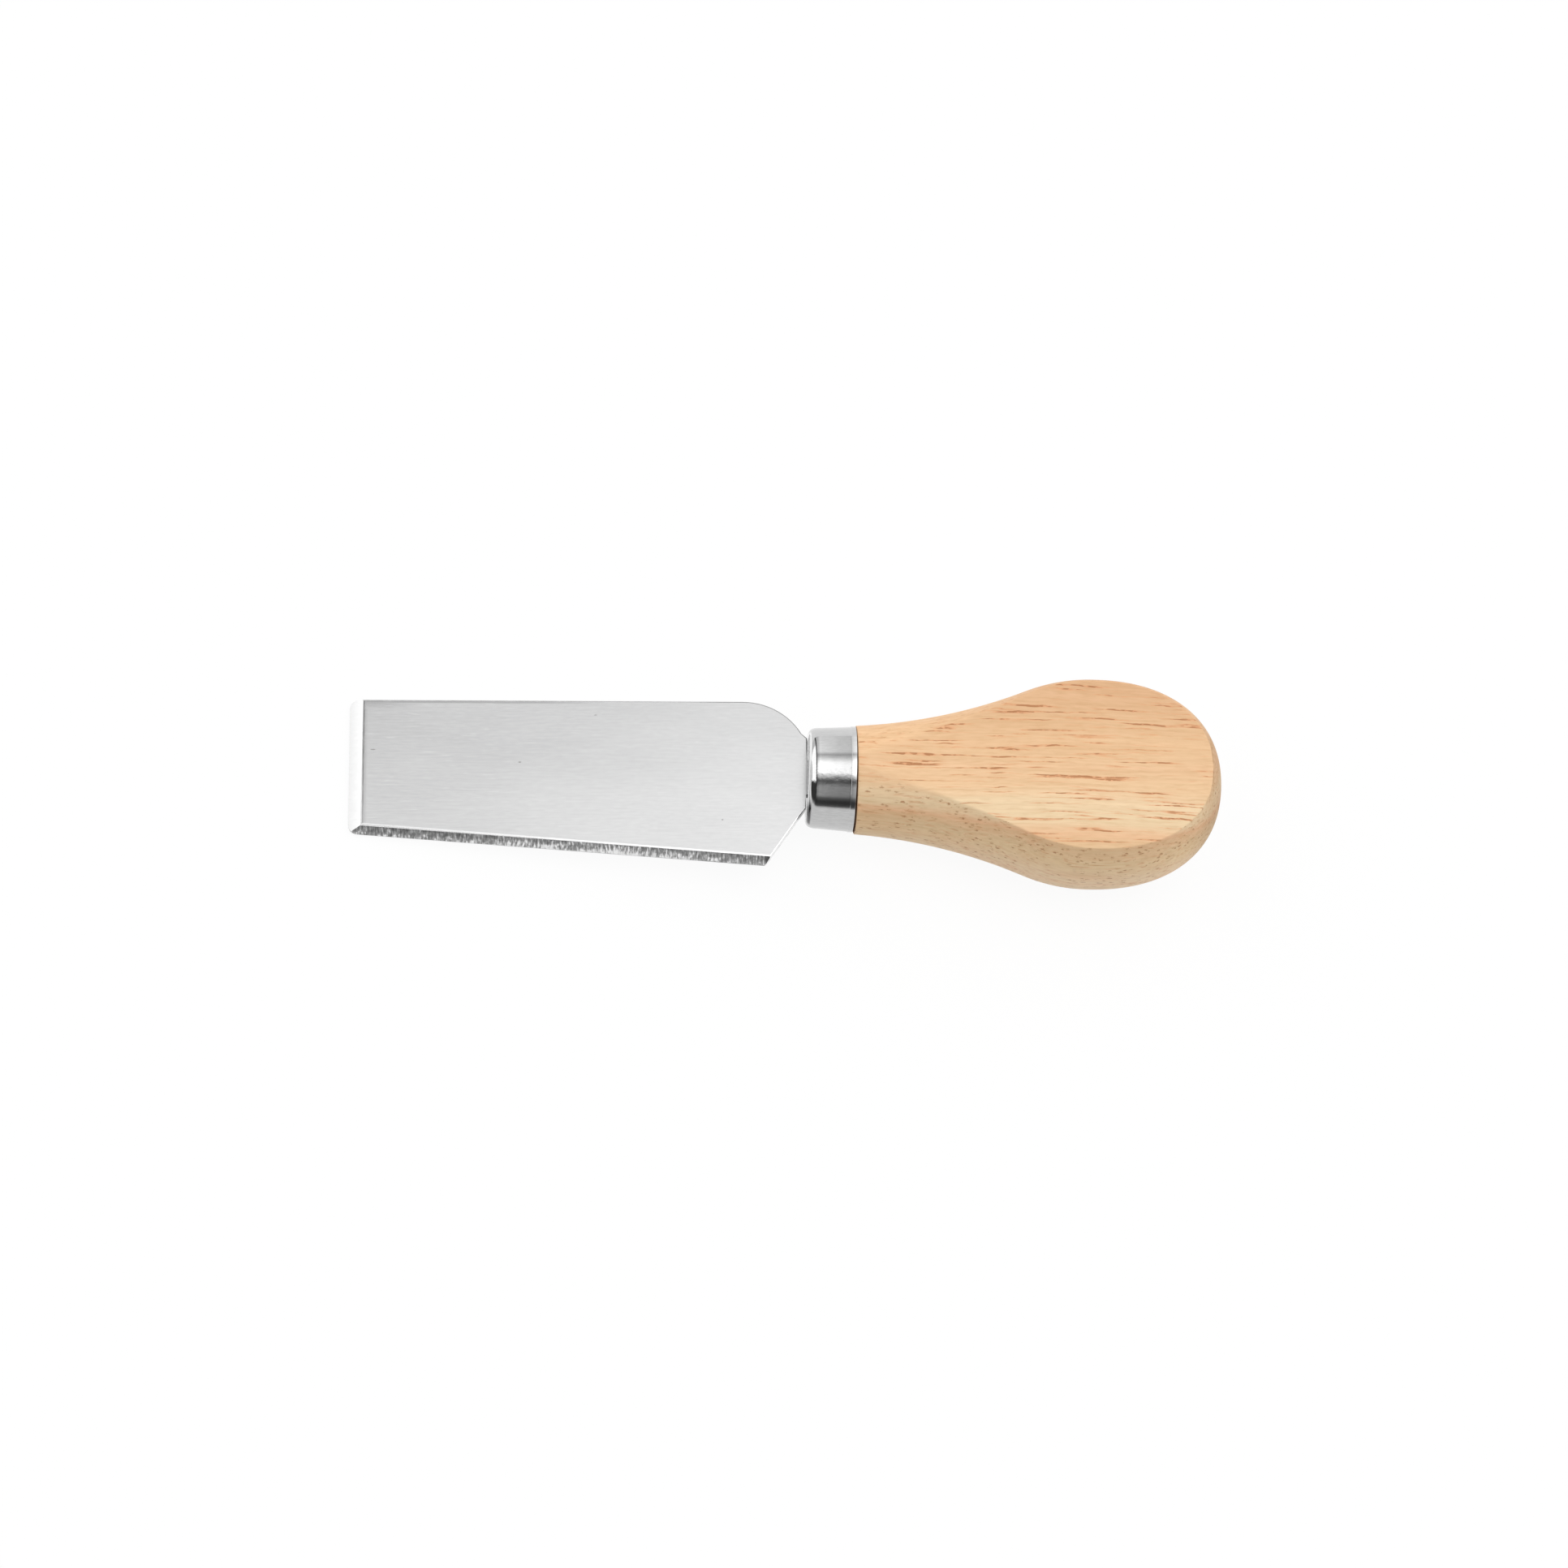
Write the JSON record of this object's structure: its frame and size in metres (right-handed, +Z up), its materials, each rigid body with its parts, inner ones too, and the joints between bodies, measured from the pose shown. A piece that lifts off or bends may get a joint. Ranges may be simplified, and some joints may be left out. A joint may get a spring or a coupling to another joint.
{
  "type": "cheese knife",
  "caption": "Small cheese knife: wide flat blade ground on its front and lower edges, a short steel ferrule and a turned wooden handle planed flat on two sides.",
  "frame": {"origin": "centre of the bounding box, on the surface that the knife lies on", "axes": "+X from the front edge of the blade to the butt of the handle, +Y from the lower cutting edge to the spine, +Z up; the knife lies tipped forward by 5.7 degrees about Y, on the front of its blade and the rim of its neck"},
  "size_m": [0.1286, 0.0312, 0.0213],
  "materials": {
    "blade_steel": "satin",
    "ferrule_steel": "polished",
    "handle_wood": "matte"
  },
  "bodies": {
    "root": {"blade": "blade_steel", "ferrule": "ferrule_steel", "handle": "handle_wood"}
  },
  "joints": []
}
